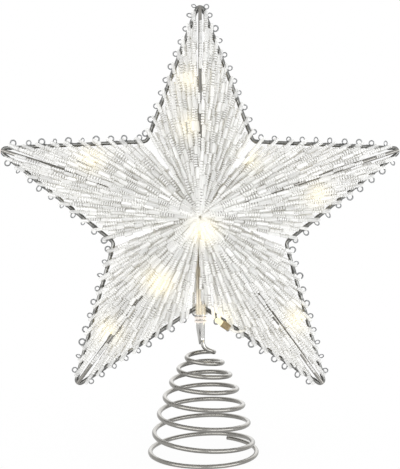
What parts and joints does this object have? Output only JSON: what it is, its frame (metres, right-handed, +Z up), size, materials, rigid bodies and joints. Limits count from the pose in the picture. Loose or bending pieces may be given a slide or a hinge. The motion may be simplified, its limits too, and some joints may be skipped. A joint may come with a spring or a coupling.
{
  "type": "christmas tree topper star",
  "caption": "Double-sided star tree topper of clear bead strands on a silver wire frame, lit from inside by small warm lights, standing on a conical wire spring that grips the treetop.",
  "frame": {"origin": "on the ground under the star's centre, in the plane of its outline wire", "axes": "+Z up along the spring, +X to the star's right arm, -Y the way the front faces"},
  "size_m": [0.2282, 0.0664, 0.2578],
  "materials": {
    "frame_wire": "bright plated",
    "spring_wire": "bright plated",
    "hub_metal": "bright plated",
    "bead": "clear moulded",
    "filament": "clear",
    "sleeve": "clear, slightly amber",
    "lens": "clear, warm white",
    "holder": "amber moulded",
    "light_wire": "clear insulation"
  },
  "bodies": {
    "spring": {"tree_spring": "spring_wire"},
    "lower_band": {"lower_stem_band": "sleeve"},
    "upper_band": {"upper_stem_band": "sleeve"},
    "star": {"back_hub": "hub_metal", "back_ridge_wire_bottom_left": "frame_wire", "back_ridge_wire_bottom_right": "frame_wire", "back_ridge_wire_left": "frame_wire", "back_ridge_wire_right": "frame_wire", "back_ridge_wire_top": "frame_wire", "back_strands_bottom_left": "bead", "back_strands_bottom_right": "bead", "back_strands_left": "bead", "back_strands_right": "bead", "back_strands_top": "bead", "centre_strut": "frame_wire", "edge_loops_bottom_left": "filament", "edge_loops_bottom_right": "filament", "edge_loops_left": "filament", "edge_loops_right": "filament", "edge_loops_top": "filament", "frame_leg": "frame_wire", "front_hub": "hub_metal", "front_ridge_wire_bottom_left": "frame_wire", "front_ridge_wire_bottom_right": "frame_wire", "front_ridge_wire_left": "frame_wire", "front_ridge_wire_right": "frame_wire", "front_ridge_wire_top": "frame_wire", "front_strands_bottom_left": "bead", "front_strands_bottom_right": "bead", "front_strands_left": "bead", "front_strands_right": "bead", "front_strands_top": "bead", "light_feed_wire": "light_wire", "light_holder_bottom_left_arm": "holder", "light_holder_bottom_right_arm": "holder", "light_holder_centre": "holder", "light_holder_left_arm": "holder", "light_holder_lower_edge": "holder", "light_holder_lower_left": "holder", "light_holder_right_arm": "holder", "light_holder_top_arm_inner": "holder", "light_holder_top_arm_outer": "holder", "light_holder_upper_right": "holder", "light_lens_bottom_left_arm": "lens", "light_lens_bottom_right_arm": "lens", "light_lens_centre": "lens", "light_lens_left_arm": "lens", "light_lens_lower_edge": "lens", "light_lens_lower_left": "lens", "light_lens_right_arm": "lens", "light_lens_top_arm_inner": "lens", "light_lens_top_arm_outer": "lens", "light_lens_upper_right": "lens", "light_string_wire": "light_wire", "outline_wire": "frame_wire", "stem_sleeve": "sleeve"}
  },
  "joints": [
    {"name": "press", "type": "slide", "parent": "spring", "child": "lower_band", "axis": [0, 0, 1], "range_m": [-0.02, 0.01], "stiffness_N_per_m": 600, "springref_m": 0.00225, "deforming": ["tree_spring"]},
    {"name": "nod", "type": "hinge", "parent": "lower_band", "child": "upper_band", "pos_m": [0.00145, -0.0034, 0.0766], "axis": [1, 0, 0], "range_deg": [-12, 12], "stiffness_Nm_per_rad": 0.6, "springref_deg": 0.43, "deforming": ["tree_spring"]},
    {"name": "sway", "type": "hinge", "parent": "upper_band", "child": "star", "pos_m": [0.00145, -0.0034, 0.0766], "axis": [0, 1, 0], "range_deg": [-12, 12], "stiffness_Nm_per_rad": 0.6, "springref_deg": 0.19, "deforming": ["tree_spring"]}
  ]
}
